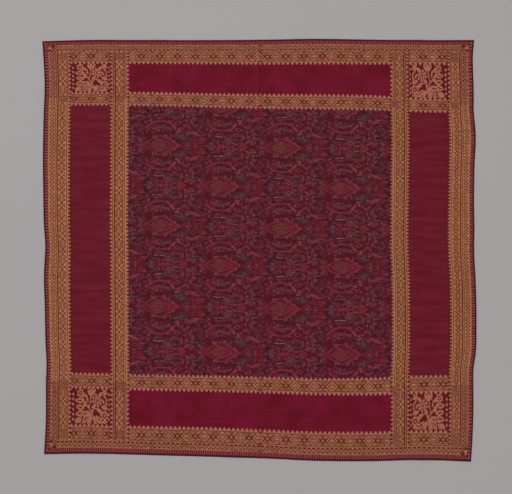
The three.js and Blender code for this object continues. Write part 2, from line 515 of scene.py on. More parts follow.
def weave_corners(gold):
    """The four tips: comb strips meet at fine slanting lines, with a gold triangle and dark knots."""
    x, y = np.meshgrid(np.arange(EDGE_WIDE) + 0.5, np.arange(EDGE_DEEP) + 0.5)
    fine = (x + y) % 4 > 1
    combed = ((x < 9) & (y % 6 < 3)) | ((y < 11) & (x % 4 < 2))
    inside = (x > 9) & (y > 11)
    triangle = (y > 12) & (y < 20) & (np.abs(x - 13) < (y - 12) * 0.5)
    knots = rhomb(x, y, 19.5, 13, 3.4, 4.6) | rhomb(x, y, 9, 9, 2.6, 3.0) | rhomb(x, y, 12, 23, 3.6, 2.6)
    tones = np.where(triangle, BRIGHT, np.where(inside, SOFT, DIM))
    tip = tones * (((fine & inside) | combed | triangle) & ~knots & (x > 3) & (y > 4))
    gold[:EDGE_DEEP, :EDGE_WIDE] = tip
    gold[:EDGE_DEEP, -EDGE_WIDE:] = tip[:, ::-1]
    gold[-EDGE_DEEP:, :EDGE_WIDE] = tip[::-1]
    gold[-EDGE_DEEP:, -EDGE_WIDE:] = tip[::-1, ::-1]


# The square that a spray is drawn in, from the middle of one row of teeth to the next.
SQUARE_WIDE = 80.0
SQUARE_DEEP = 57.0
SPRAY_STEMS = (
    # width, then the points that it runs through
    (2.6, (40, 54), (41, 44), (44, 34), (48, 24), (52, 18)),
    (2.4, (43, 37), (34, 28), (27, 19), (21, 10)),
    (2.2, (36, 30), (40, 20), (41, 8)),
    (2.2, (46, 30), (58, 33), (66, 40)),
    (2.2, (52, 18), (60, 11), (66, 6)),
    (2.2, (41, 44), (30, 41), (20, 43)),
)
SPRAY_BLOOMS = (
    # x, y, inner and outer reach of the petals, how many, degrees
    (20.5, 8, 4.4, 7.4, 7, 0),
    (52, 19, 5.2, 10.4, 8, 11),
    (66.5, 41.5, 4.8, 8.2, 7, 20),
    (66.5, 6.5, 1.6, 6.4, 5, 54),
)
SPRAY_CURLS = (
    # x, y, reach across and down, width, first and last degree
    (63.5, 20.5, 7.0, 8.6, 2.8, 280, 360),
    (63.5, 20.5, 7.0, 8.6, 2.8, 0, 60),
    (46.5, 41.5, 5.6, 5.4, 2.2, 20, 230),
)
SPRAY_LEAVES = (
    # x, y, half length, half width, degrees, whether it has an open vein
    (36.8, 6.5, 6.4, 2.6, 62, False),
    (41.4, 5.4, 6.6, 2.4, 90, False),
    (46, 6.5, 6.4, 2.6, 118, False),
    (19, 19.2, 9.6, 4.0, 6, True),
    (28.5, 25.2, 5.8, 3.2, -52, False),
    (19.4, 29.4, 8.6, 4.2, 14, True),
    (18.8, 38.4, 9.0, 4.3, -14, True),
    (15.8, 49.0, 8.4, 4.2, -22, False),
    (29.2, 46.8, 8.8, 3.9, -58, True),
    (36.2, 49.6, 6.8, 3.0, -78, False),
    (47.8, 48.4, 7.8, 3.3, 66, False),
    (55.8, 47.8, 9.2, 3.8, 44, True),
    (57.0, 34.6, 6.8, 3.3, 34, False),
    (66.6, 29.4, 7.0, 3.4, 18, False),
    (36.0, 38.2, 6.0, 3.0, 38, False),
    (58.6, 9.6, 5.8, 2.8, -40, False),
    (29.0, 11.5, 6.0, 2.4, 20, False),
    (28.0, 36.6, 5.0, 2.2, -8, False),
    (46.0, 27.6, 5.4, 2.4, -30, False),
    (66.5, 51.0, 6.4, 2.6, -12, False),
    (33.5, 17.6, 4.6, 2.0, 70, False),
    (64.0, 20.0, 4.6, 2.0, 60, False),
)


def spray(wide, deep):
    """A spray of flowers and leaves, wide columns by deep rows, brighter in slanting streaks."""
    across = (np.arange(wide) + 0.5) / wide * SQUARE_WIDE
    down = (np.arange(deep) + 0.5) / deep * SQUARE_DEEP
    x, y = np.meshgrid(across, down)
    plant = np.zeros(x.shape, bool)
    for broad, *points in SPRAY_STEMS:
        plant |= stroke(x, y, broad, *points)
    for bloom in SPRAY_BLOOMS:
        plant |= petals(x, y, *bloom)
    for curl in SPRAY_CURLS:
        plant |= arch(x, y, *curl)
    slits = (
        oval(x, y, 52, 19, 1.8, 1.9)
        | (oval(x, y, 20.5, 8, 3.3, 3.3) & ~oval(x, y, 20.5, 8, 1.7, 1.7))
        | (oval(x, y, 66.5, 41.5, 3.9, 3.9) & ~oval(x, y, 66.5, 41.5, 2.0, 2.0))
    )
    for cx, cy, half, broad, turn, veined in SPRAY_LEAVES:
        plant |= leaf(x, y, cx, cy, half, broad, turn)
        if veined:
            slits |= leaf(x, y, cx, cy, 0.56 * half, 0.26 * broad, turn)
    for petal in range(8):
        turn = 45 * petal + 11.5
        middle = 52 + 5.9 * math.cos(math.radians(turn)), 19 + 5.9 * math.sin(math.radians(turn))
        slits |= oval(x, y, *middle, 2.6, 0.8, turn)
    beads = rhomb(x, (y + 2) % 7.6, 6.2, 3.8, 2.2, 2.9) | rhomb(x, (y + 2) % 7.6, 75.4, 3.8, 1.8, 2.6)
    beads &= (y > 4) & (y < 53)
    arrows = (np.abs(x % 8.5 - 4.25) < (y - 50.5) * 0.6) & (y > 50.6) & (y < 53.6) & (x > 9) & (x < 72)
    plant &= ~slits & (x > 9.5) & (x < 73.5)
    streak = (x + 1.6 * y) % 9
    tones = np.where(plant & (streak < 3.6), BRIGHT, np.where(plant & (streak < 6), SOFT, BLUSHED))
    return (plant | beads | arrows) * tones


# First and last row, and first and last column, of the squares of sprays.
SQUARE_ROWS = ((53, 110), (735, 801))
LEFT_SQUARES = (48, 124)
RIGHT_SQUARES = (648, 716)


def weave_sprays(gold):
    """A spray in each corner square, mirrored in the right ones."""
    for top, foot in SQUARE_ROWS:
        for (first, last), step in ((LEFT_SQUARES, 1), (RIGHT_SQUARES, -1)):
            square = gold[top:foot, first:last]
            square[:] = np.maximum(square, spray(last - first, foot - top)[:, ::step])


gold = weave_bands()
weave_crossings(gold)
weave_corners(gold)
weave_sprays(gold)

# How a gold thread lies: each float is a low ridge that dives into the cloth at both ends.
FLOAT_LONG = 8
FLOAT_HIGH = 0.3
FLOAT_SUNK = 0.015
FLOAT_GAP = 0.02
FLOAT_INSET = 0.4


def floats(chart):
    """Row, first column and end column of each float of gold thread."""
    rows, columns = np.indices(chart.shape)
    tied = (columns + 3 * rows) % FLOAT_LONG == 0
    before = np.pad(chart, ((0, 0), (1, 0)))[:, :-1]
    after = np.pad(chart, ((0, 0), (0, 1)))[:, 1:]
    tied_after = np.pad(tied, ((0, 0), (0, 1)))[:, 1:]
    row, start = np.nonzero((chart > 0) & ((before != chart) | tied))
    end = np.nonzero((chart > 0) & ((after != chart) | tied_after))[1] + 1
    return row, start, end


def make_mesh(name, points, faces, material):
    """A mesh object from points in millimetres and a list of arrays of faces, each of like size."""
    mesh = bpy.data.meshes.new(name)
    corners = np.concatenate([group.ravel() for group in faces])
    sizes = np.concatenate([np.full(len(group), group.shape[1]) for group in faces])
    mesh.vertices.add(len(points))
    mesh.vertices.foreach_set("co", (points * MM).ravel())
    mesh.loops.add(len(corners))
    mesh.loops.foreach_set("vertex_index", corners)
    mesh.polygons.add(len(sizes))
    mesh.polygons.foreach_set("loop_start", np.concatenate([[0], np.cumsum(sizes)[:-1]]))
    mesh.update(calc_edges=True)
    mesh.materials.append(material)
    piece = bpy.data.objects.new(name, mesh)
    bpy.context.collection.objects.link(piece)
    return piece


def add_value(piece, name, values, kind="FLOAT", field="value"):
    """A number, place or colour at each point of a piece, for its material."""
    layer = piece.data.attributes.new(name, kind, "POINT")
    layer.data.foreach_set(field, np.asarray(values, np.float32).ravel())


def add_flat_map(piece, columns, rows):
    """A UV map named OFBake, laid out as the chart is."""
    layer = piece.data.uv_layers.new(name="OFBake")
    at = np.empty(len(piece.data.loops), int)
    piece.data.loops.foreach_get("vertex_index", at)
    u = (columns - columns.min()) / np.ptp(columns) * 0.98 + 0.01
    v = 0.99 - (rows - rows.min()) / np.ptp(rows) * 0.98
    layer.uv.foreach_set("vector", np.stack([u[at], v[at]], axis=1).ravel().astype(np.float32))


def make_ridges(name, columns, rows, sunk, height, material, ended):
    """Low ridges, each with a far and a near face and, where it is ended, one at each end."""
    count = len(columns)
    above = np.stack([np.full(count, -sunk)] * 4 + [height, height], axis=1)
    points = surface(columns.ravel(), rows.ravel(), above.ravel())
    first = np.arange(count)[:, None] * 6
    faces = [np.concatenate([first + [3, 2, 5, 4], first + [1, 0, 4, 5]])]
    if ended:
        faces.append(np.concatenate([first + [0, 3, 4], first + [2, 1, 5]]))
    return make_mesh(name, points, faces, material)


def make_floats(name, chart, material):
    """Floats of gold thread, from a chart of it."""
    row, start, end = floats(chart)
    count = len(row)
    left = start + FLOAT_GAP
    right = end - FLOAT_GAP
    inset = np.minimum(FLOAT_INSET, 0.25 * (right - left))
    far = row + FLOAT_GAP
    near = row + 1 - FLOAT_GAP
    slant = chance.normal(0, 0.03, count)
    height = FLOAT_HIGH * chance.uniform(0.75, 1.15, count)
    columns = np.stack([left, right, right, left, left + inset, right - inset], axis=1)
    rows = np.stack([far, far, near, near, row + 0.5 + slant, row + 0.5 - slant], axis=1)
    piece = make_ridges(name, columns, rows, FLOAT_SUNK, height, material, True)
    add_value(piece, "strand", np.repeat(chance.uniform(0, 1, count), 6))
    add_value(piece, "soft", np.repeat(chart[row, start] >= SOFT, 6))
    add_value(piece, "blush", np.repeat(chart[row, start] >= BLUSHED, 6))
    add_value(piece, "dim", np.repeat(chart[row, start] == DIM, 6))
    add_flat_map(piece, columns.ravel(), rows.ravel())
    return piece


# The tie-dyed field. Its pattern repeats at a half drop and mirrors about each row of lozenges,
# so a quarter of it is drawn: u from a lozenge's middle to the right, v up or down from its row.
FIELD_COLUMNS = (152, 620)
FIELD_ROWS = (137, 707)
TILE_WIDE = 242.4
TILE_DEEP = 80.0
TILE_STEP = 0.5
TILE_START = -66.0
TILE_MIDDLE = 43.2
LOZENGE_SHARES = (0.0, 0.147, 0.295, 0.4457, 0.587, 0.743, 0.911, 1.06)

# Red, green and blue of each dye as a screen shows it.
DYES = {
    "ground": (73, 14, 25),
    "deep": (60, 9, 19),
    "plum": (66, 16, 29),
    "slate": (62, 30, 39),
    "teal": (72, 53, 60),
    "green": (60, 38, 39),
    "olive": (66, 34, 32),
    "rose": (103, 40, 50),
    "pink": (120, 56, 64),
    "scarlet": (107, 23, 38),
    "vermilion": (111, 32, 39),
    "tan": (98, 50, 46),
    "mauve": (86, 38, 52),
    "wine": (92, 28, 40),
    "chalk": (136, 106, 102),
}
# The dyes that fine tendrils run over.
QUIET = ("ground", "plum", "slate", "green", "olive")

MOTIFS = (
    # dye, shape, its numbers
    ("plum", oval, (73.4, 42, 22, 16)),
    ("plum", oval, (-46, 42, 17, 14)),
    ("plum", oval, (14, 66, 34, 12)),
    ("slate", oval, (-47.5, 18.6, 14, 8.0)),
    ("deep", oval, (-47, 20, 8, 3.4)),
    ("teal", oval, (-48, 17.4, 6, 1.6)),
    ("green", leaf, (38, 20, 25, 8.8, -21)),
    ("plum", leaf, (31, 23, 15, 4.6, -21)),
    ("teal", leaf, (44, 17.5, 9, 2.4, -21)),
    ("slate", oval, (99, 6, 10.5, 14)),
    ("deep", oval, (96, 8, 5, 7)),
    ("teal", oval, (100, 4, 3.6, 5)),
    ("green", oval, (151.6, 15.6, 15, 7.2)),
    ("deep", oval, (150, 16.5, 8.5, 3.0)),
    ("teal", oval, (150, 13.6, 6, 1.5)),
    ("deep", stroke, (1.8, (138, 10), (146, 7.5), (158, 8), (166, 13))),
    ("mauve", stroke, (1.6, (140, 20), (148, 23.5), (158, 23), (165, 18))),
    ("chalk", stroke, (1.3, (109, 19.4), (118, 18.9), (129, 19.4))),
    ("deep", stroke, (1.6, (109, 21.6), (130, 21.6))),
    ("teal", stroke, (1.6, (111, 23.6), (130, 23.6))),
    ("mauve", stroke, (1.2, (112, 26.4), (126, 26.8))),
    ("rose", rhomb, (0, 0, 37.5, 20.5)),
    ("wine", rhomb, (0, 0, 34, 18.4)),
    ("deep", rhomb, (0, 0, 31, 16.4)),
    ("wine", rhomb, (1, 0, 28, 14.4)),
    ("rose", rhomb, (22, 0, 14, 7.5)),
    ("scarlet", rhomb, (21, 0, 11.5, 7.0)),
    ("tan", rhomb, (-5, 0, 18, 13.6)),
    ("olive", rhomb, (-5, 0, 11.5, 11.5)),
    ("tan", rhomb, (-5, 0, 9.4, 9.4)),
    ("vermilion", rhomb, (-5, 0, 6.0, 6.0)),
    ("tan", rhomb, (-5, 0, 3.0, 3.0)),
    ("pink", stroke, (1.3, (-10, 14), (0, 10.5), (12, 7), (22, 1))),
    ("scarlet", rhomb, (-25, 0, 9.0, 4.6)),
    ("vermilion", stroke, (1.6, (-40, 1.0), (-22, 9.0), (-3, 18.6))),
    ("pink", stroke, (1.8, (6, 19.6), (22, 10.5), (38, 0.8))),
    ("plum", oval, (1.6, 25, 14, 5)),
    ("deep", arch, (0, 27, 28, 19, 7.0, 10, 190)),
    ("rose", arch, (0, 27, 29.5, 20, 2.4, 12, 178)),
    ("pink", arch, (1, 27, 31.5, 22.2, 1.6, 24, 160)),
    ("wine", leaf, (-18.5, 38, 12, 3.4, 28)),
    ("rose", leaf, (-25.6, 29, 6.5, 1.8, 58)),
    ("rose", arch, (0, 26, 19, 13.5, 1.7, 15, 175)),
    ("mauve", arch, (0, 26, 13, 8.5, 1.5, 20, 160)),
    ("teal", oval, (5.4, 36.4, 6, 3.2)),
    ("tan", oval, (-4, 37.6, 4.4, 2.2)),
    ("pink", leaf, (25.6, 37, 7.5, 2.6, -38)),
    ("rose", leaf, (68.2, 24.2, 14.5, 4.2, -22)),
    ("pink", leaf, (69.2, 24.6, 12, 2.0, -22)),
    ("mauve", stroke, (1.2, (52, 33), (60, 31), (72, 26), (84, 19))),
    ("scarlet", oval, (82, 11.5, 6.8, 3.4)),
    ("vermilion", stroke, (1.9, (62, 0.4), (86, 0.4))),
    ("rose", stroke, (1.6, (64, 4.6), (74, 5.4), (86, 4.4))),
    ("vermilion", stroke, (1.6, (66, 9), (76, 9.8), (88, 9))),
    ("rose", stroke, (1.4, (68, 13.4), (78, 14.2), (88, 13.2))),
    ("mauve", rhomb, (57, 0, 8, 5)),
    ("rose", rhomb, (46, 0, 6.4, 5)),
    ("deep", rhomb, (46, 0, 3.4, 2.6)),
    ("pink", rhomb, (54.5, 0, 3.4, 2.6)),
    ("vermilion", leaf, (126, 0, 16.5, 2.2)),
    ("rose", leaf, (135, 4.2, 8.4, 1.7, 28)),
    ("rose", leaf, (117, 4.2, 8.4, 1.7, -28)),
    ("vermilion", leaf, (126, 5.6, 5.6, 1.7, 90)),
    ("pink", oval, (126, 0, 2.4, 2.0)),
    ("vermilion", rhomb, (165.5, 0, 10.5, 9.6)),
    ("rose", rhomb, (165.5, 0, 7.4, 6.6)),
    ("vermilion", rhomb, (165.5, 0, 3.6, 3.4)),
    ("mauve", stroke, (1.5, (-31, 8.6), (-44, 2), (-48, 0), (-58, 9.5), (-62, 22), (-56, 36), (-43, 47))),
    ("mauve", stroke, (1.3, (-64, 15), (-50, 5.4), (-36, 1.4), (-28, 1))),
    ("rose", stroke, (1.6, (36, 28), (42, 26.4), (47, 30.5), (44, 35.5), (38, 36.5))),
    ("rose", stroke, (1.6, (47, 41), (53, 43.5), (50.5, 49.5), (43.5, 50.5))),
    ("rose", stroke, (1.5, (30, 52), (36, 55.6), (43, 54.6))),
    ("mauve", stroke, (1.4, (56, 47), (66, 38.5), (80, 29))),
    ("rose", stroke, (1.3, (-40, 30), (-34, 33), (-30, 39))),
    ("rose", stroke, (1.4, (-38, 52), (-30, 55), (-20, 53))),
    ("rose", stroke, (1.3, (14, 60), (22, 64), (31, 62.5))),
    ("mauve", stroke, (1.3, (-12, 57), (-4, 60.5), (6, 60))),
)


def weave_tile():
    """The drawn quarter as numbers of dyes, over its width and depth."""
    names = list(DYES)
    x, y = np.meshgrid(np.arange(0, TILE_WIDE, TILE_STEP), np.arange(0, TILE_DEEP + TILE_STEP, TILE_STEP))
    places = (
        # from a lozenge of this row, and from one of the next
        ((x - TILE_START) % TILE_WIDE + TILE_START, y),
        ((x - TILE_WIDE / 2 - TILE_START) % TILE_WIDE + TILE_START, TILE_DEEP - y),
    )
    tile = np.full(x.shape, names.index("ground"))
    for dye, shape, numbers in MOTIFS:
        for u, v in places:
            tile[shape(u, v, *numbers)] = names.index(dye)
    return tile


def weft_slips():
    """How far along itself each pass of weft lies out of place."""
    rows = np.arange(ROWS)
    bundle = 3
    bundles = np.repeat(chance.normal(0, 0.5, ROWS // bundle + 1), bundle)[:ROWS]
    return bundles + chance.normal(0, 0.3, ROWS) + 1.6 * np.sin(rows / 41.0) + 0.9 * np.sin(rows / 17.0 + 1)


SLIPS = weft_slips()


def in_repeat(columns, rows):
    """Place along the repeat, not wrapped, and up or down from its row of lozenges."""
    place = surface(columns, rows + 0.5)
    head = surface(columns, np.full(columns.shape, LEVEL_ROWS[3]))[..., 1]
    foot = surface(columns, np.full(columns.shape, LEVEL_ROWS[5]))[..., 1]
    drops = np.arange(len(LOZENGE_SHARES)) * TILE_DEEP
    drop = np.interp((head - place[..., 1]) / (head - foot), LOZENGE_SHARES, drops)
    return place[..., 0] - TILE_MIDDLE + SLIPS[rows], np.abs(drop % (2 * TILE_DEEP) - TILE_DEEP)


# The most columns that one stretch spans, so that it follows the cloth.
RIB_LONG = 2 * NODE_STEP


def field_runs(tile):
    """Row, start, end and dye of each stretch of one colour in the field's weft."""
    rows = np.arange(*FIELD_ROWS)
    across, down = in_repeat(*np.meshgrid(np.arange(*FIELD_COLUMNS, 0.5) + 0.25, rows))
    i = (across % TILE_WIDE / TILE_STEP).astype(int) % tile.shape[1]
    j = np.clip((down / TILE_STEP).astype(int), 0, tile.shape[0] - 1)
    dyed = tile[j, i]
    alone = (dyed[:, 1:-1] != dyed[:, :-2]) & (dyed[:, 1:-1] != dyed[:, 2:])
    dyed[:, 1:-1] = np.where(alone, dyed[:, :-2], dyed[:, 1:-1])
    change = np.ones(dyed.shape, bool)
    change[:, 1:] = dyed[:, 1:] != dyed[:, :-1]
    change[:, ::2 * RIB_LONG] = True
    x = grid_x[:, np.isin(node_columns, np.arange(*FIELD_COLUMNS, NODE_STEP))].mean(axis=0)
    for at, _ in UPRIGHT_CREASES:
        near_crease = np.abs(x - (at - 0.5) * WIDTH) < 2 * CREASE_HALF_WIDTH
        change[:, np.flatnonzero(near_crease) * 2 * NODE_STEP] = True
    row, start = np.nonzero(change)
    end = np.where(np.append(row[1:], -1) == row, np.append(start[1:], 0), dyed.shape[1])
    first = FIELD_COLUMNS[0]
    return rows[row], first + start * 0.5, first + end * 0.5, dyed[row, start]


RIB_HIGH = 0.16
RIB_SUNK = 0.03


def make_ribs(name, row, start, end, colours, wispy, material):
    """Low ribs of weft, one for each stretch of colour."""
    columns = np.stack([start, end, end, start, start, end], axis=1)
    rows = np.stack([row, row, row + 1, row + 1, row + 0.5, row + 0.5], axis=1)
    piece = make_ridges(name, columns, rows, RIB_SUNK, np.full(len(row), RIB_HIGH), material, False)
    dyes = np.concatenate([colours, np.ones((len(row), 1))], axis=1)
    add_value(piece, "dye", np.repeat(dyes, 6, axis=0), "FLOAT_COLOR", "color")
    add_value(piece, "wisp", np.repeat(wispy, 6))
    along, aside = in_repeat(columns.ravel(), np.repeat(row, 6))
    add_value(piece, "repeat", np.stack([along, aside, 0 * along], axis=1), "FLOAT_VECTOR", "vector")
    add_flat_map(piece, columns.ravel(), rows.ravel())
    return piece


# Materials

def to_linear(shown):
    """Colours from 0 to 255 as a screen shows them, for a shader."""
    shown = np.asarray(shown, float) / 255
    return np.where(shown <= 0.04045, shown / 12.92, ((shown + 0.055) / 1.055) ** 2.4)


def linear(red, green, blue):
    return tuple(to_linear((red, green, blue))) + (1.0,)


def add_node(tree, kind, inputs=None, **settings):
    made = tree.nodes.new(kind)
    for name, value in settings.items():
        setattr(made, name, value)
    for name, value in (inputs or {}).items():
        if isinstance(value, bpy.types.NodeSocket):
            tree.links.new(value, made.inputs[name])
        else:
            made.inputs[name].default_value = value
    return made


def start_material(name, **sockets):
    """A new material with its shader's plain values set, and the shader."""
    material = bpy.data.materials.new(name)
    material.use_nodes = True
    shader = material.node_tree.nodes["Principled BSDF"]
    for socket, value in sockets.items():
        shader.inputs[socket.replace("_", " ")].default_value = value
    return material, material.node_tree, shader


def noise(tree, scale, stretch=(1, 1, 1), detail=3.0):
    """Noise from 0 to 1 in the cloth's own place."""
    place = add_node(tree, "ShaderNodeTexCoord").outputs["Object"]
    moved = add_node(tree, "ShaderNodeMapping", {"Vector": place, "Scale": stretch}).outputs["Vector"]
    inputs = {"Vector": moved, "Scale": scale, "Detail": detail}
    return add_node(tree, "ShaderNodeTexNoise", inputs).outputs["Fac"]


def ramp(tree, value, low, high, start=0.0, end=1.0):
    """value from low to high becomes start to end, and is held there."""
    inputs = {"Value": value, "From Min": low, "From Max": high, "To Min": start, "To Max": end}
    return add_node(tree, "ShaderNodeMapRange", inputs).outputs["Result"]


def mix(tree, share, first, second):
    made = add_node(tree, "ShaderNodeMix", data_type="RGBA")
    for socket, value in ((0, share), (6, first), (7, second)):
        if isinstance(value, bpy.types.NodeSocket):
            tree.links.new(value, made.inputs[socket])
        else:
            made.inputs[socket].default_value = value
    return made.outputs[2]


def reckon(tree, operation, first, second=0.0):
    return add_node(tree, "ShaderNodeMath", {0: first, 1: second}, operation=operation).outputs[0]


def times(tree, first, second):
    return reckon(tree, "MULTIPLY", first, second)


# The scale of a wave texture, times the pitch of its bands in metres.
BAND_SCALE = 0.314


def threads(tree, direction, pitch, wander):
    """Ridges of parallel threads, pitch metres apart."""
    place = add_node(tree, "ShaderNodeTexCoord").outputs["Object"]
    waves = {"Scale": BAND_SCALE / pitch, "Distortion": wander, "Detail": 1.0, "Detail Scale": 0.3}
    bands = {"wave_type": "BANDS", "bands_direction": direction, "wave_profile": "SIN"}
    return add_node(tree, "ShaderNodeTexWave", {"Vector": place, **waves}, **bands).outputs["Fac"]


def attribute(tree, name, output="Fac"):
    return add_node(tree, "ShaderNodeAttribute", attribute_name=name).outputs[output]


def bump(tree, shader, height, strength, distance):
    inputs = {"Height": height, "Strength": strength, "Distance": distance}
    normal = add_node(tree, "ShaderNodeBump", inputs).outputs["Normal"]
    tree.links.new(normal, shader.inputs["Normal"])


def silk_material():
    material, tree, shader = start_material("crimson_silk", Roughness=0.6, Specular_IOR_Level=0.06)
    warp = noise(tree, 1.0, (150, 6, 1), 4.0)
    weft = noise(tree, 1.0, (6, 190, 1), 4.0)
    cloud = noise(tree, 26.0)
    colour = mix(tree, ramp(tree, warp, 0.3, 0.7), linear(107, 11, 36), linear(97, 9, 32))
    colour = mix(tree, ramp(tree, weft, 0.45, 0.7, 0.0, 0.35), colour, linear(115, 25, 46))
    colour = mix(tree, ramp(tree, cloud, 0.42, 0.62, 0.0, 0.8), colour, linear(92, 8, 24))
    colour = mix(tree, ramp(tree, noise(tree, 17.0), 0.5, 0.66, 0.0, 0.6), colour, linear(114, 13, 47))
    dyed = attribute(tree, "dyed_weft")
    pale = ramp(tree, noise(tree, 1.0, (14, 90, 1), 5.0), 0.35, 0.68)
    colour = mix(tree, times(tree, dyed, ramp(tree, weft, 0.3, 0.7, 0.6, 1.0)), colour, linear(89, 16, 27))
    colour = mix(tree, times(tree, dyed, pale), colour, linear(105, 25, 41))
    flecks = ramp(tree, noise(tree, 1.0, (500, 1400, 1), 2.0), 0.46, 0.56)
    behind = times(tree, attribute(tree, "gilt_behind"), flecks)
    colour = mix(tree, behind, colour, linear(139, 88, 62))
    # Browner base under the gold, and painted shade just past the outer bands' teeth.
    colour = mix(tree, attribute(tree, "gilt_base_and_shade"), colour, linear(83, 24, 9))
    # The hem: its darker silk, with painted shadow along the cloth's edge.
    colour = mix(tree, attribute(tree, "hem"), colour, linear(62, 14, 28))
    # Painted shade: thin dark lines along old folds.
    colour = mix(tree, attribute(tree, "fold_shade"), colour, linear(60, 2, 20))
    tree.links.new(colour, shader.inputs["Base Color"])
    weave = times(tree, threads(tree, "X", 0.00042, 0.4), threads(tree, "Y", 0.0005, 0.4))
    bump(tree, shader, weave, 0.35, 0.0002)
    return material


def tendrils(tree, scale, levels):
    """Fine curling lines that repeat, mirror and half drop as the field does."""
    turn = 2 * math.pi / TILE_WIDE
    rise = 1.3 * turn
    place = add_node(tree, "ShaderNodeSeparateXYZ", {"Vector": attribute(tree, "repeat", "Vector")}).outputs
    angle = times(tree, place["X"], turn)
    round_it = {
        "X": reckon(tree, "COSINE", angle),
        "Y": reckon(tree, "SINE", angle),
        "Z": times(tree, place["Y"], rise),
    }
    here = add_node(tree, "ShaderNodeCombineXYZ", round_it).outputs["Vector"]
    shift = {"Vector": here, "Location": (0, 0, rise * TILE_DEEP), "Scale": (-1, -1, -1)}
    there = add_node(tree, "ShaderNodeMapping", shift).outputs["Vector"]
    grains = []
    for vector in (here, there):
        inputs = {"Vector": vector, "Scale": scale, "Detail": 0.5}
        grains.append(add_node(tree, "ShaderNodeTexNoise", inputs).outputs["Fac"])
    height = reckon(tree, "ADD", *grains)
    return ramp(tree, reckon(tree, "SINE", times(tree, height, levels)), 0.8, 0.97)


def dyed_material():
    material, tree, shader = start_material("dyed_silk", Roughness=0.58, Specular_IOR_Level=0.06)
    streak = noise(tree, 1.0, (260, 12, 1), 3.0)
    dye = attribute(tree, "dye", "Color")
    colour = mix(tree, ramp(tree, streak, 0.4, 0.75, 0.0, 0.35), dye, linear(80, 18, 30))
    wisp = attribute(tree, "wisp")
    colour = mix(tree, times(tree, wisp, tendrils(tree, 3.0, 11.5)), colour, linear(121, 58, 65))
    colour = mix(tree, times(tree, wisp, tendrils(tree, 4.2, 9.5)), colour, linear(98, 58, 64))
    tree.links.new(colour, shader.inputs["Base Color"])
    bump(tree, shader, threads(tree, "X", 0.00042, 0.4), 0.3, 0.0001)
    return material


def gold_material():
    finish = {"Roughness": 0.5, "Metallic": 0.1, "Specular_IOR_Level": 0.2}
    material, tree, shader = start_material("gold_thread", **finish)
    bright = mix(tree, attribute(tree, "strand"), linear(148, 87, 48), linear(184, 124, 89))
    soft = mix(tree, attribute(tree, "strand"), linear(121, 62, 41), linear(164, 102, 80))
    # Softer gold is darker and pinker; over the level bands this is a painted difference in sheen.
    colour = mix(tree, attribute(tree, "soft"), bright, soft)
    worn = ramp(tree, noise(tree, 34.0, detail=4.0), 0.5, 0.72, 0.0, 0.6)
    colour = mix(tree, worn, colour, linear(152, 92, 70))
    dull = ramp(tree, noise(tree, 7.0), 0.45, 0.7, 0.0, 0.4)
    colour = mix(tree, dull, colour, linear(142, 92, 52))
    colour = mix(tree, attribute(tree, "blush"), colour, linear(167, 101, 83))
    colour = mix(tree, attribute(tree, "dim"), colour, linear(132, 64, 60))
    tree.links.new(colour, shader.inputs["Base Color"])
    bump(tree, shader, threads(tree, "DIAGONAL", 0.0004, 0.2), 0.3, 0.0001)
    return material


def floor_material():
    material, tree, shader = start_material("floor", Roughness=0.9, Specular_IOR_Level=0.1)
    grain = noise(tree, 900.0)
    colour = mix(tree, grain, linear(160, 156, 156), linear(168, 164, 164))
    tree.links.new(colour, shader.inputs["Base Color"])
    return material


# The cloth itself

def make_cloth(material):
    """The sheet: upper face, rim and underside in one closed mesh."""
    rows, columns = grid_x.shape
    rise = 0.2
    rim = np.zeros(grid_x.shape)
    rim[[0, -1], :] = rise
    rim[:, [0, -1]] = rise
    under = np.stack([grid_x, grid_y, grid_under + rim], axis=-1)
    points = np.concatenate([grid_top.reshape(-1, 3), under.reshape(-1, 3)])
    at = np.arange(rows * columns).reshape(rows, columns)
    upper = np.stack([at[1:, :-1], at[1:, 1:], at[:-1, 1:], at[:-1, :-1]], axis=-1).reshape(-1, 4)
    lower = upper[:, ::-1] + rows * columns
    ring = np.concatenate([at[0, :-1], at[:-1, -1], at[-1, :0:-1], at[:0:-1, 0]])
    beyond = np.roll(ring, -1)
    sides = np.stack([ring, beyond, beyond + rows * columns, ring + rows * columns], axis=-1)
    piece = make_mesh("cloth", points, [np.concatenate([upper, lower, sides])], material)
    piece.data.shade_smooth()
    return piece


# How far in the hem's darkening reaches, and how fast it fades: the hem's darker silk with painted shadow
# along the cloth's edge.
DARK_COLUMNS = 4.3
DARK_ROWS = 4.5
HEM_SHADE_FADE = 2.1875
# Where the browner base under the gold begins, from a side and from an end, and how brown it is where the
# gold is sparse. Beside the side panels the same brown runs just past the outer bands' teeth, as painted
# shade.
BASE_SIDE = 3
BASE_END = 7
FAINT_BASE_AND_SHADE = 0.5


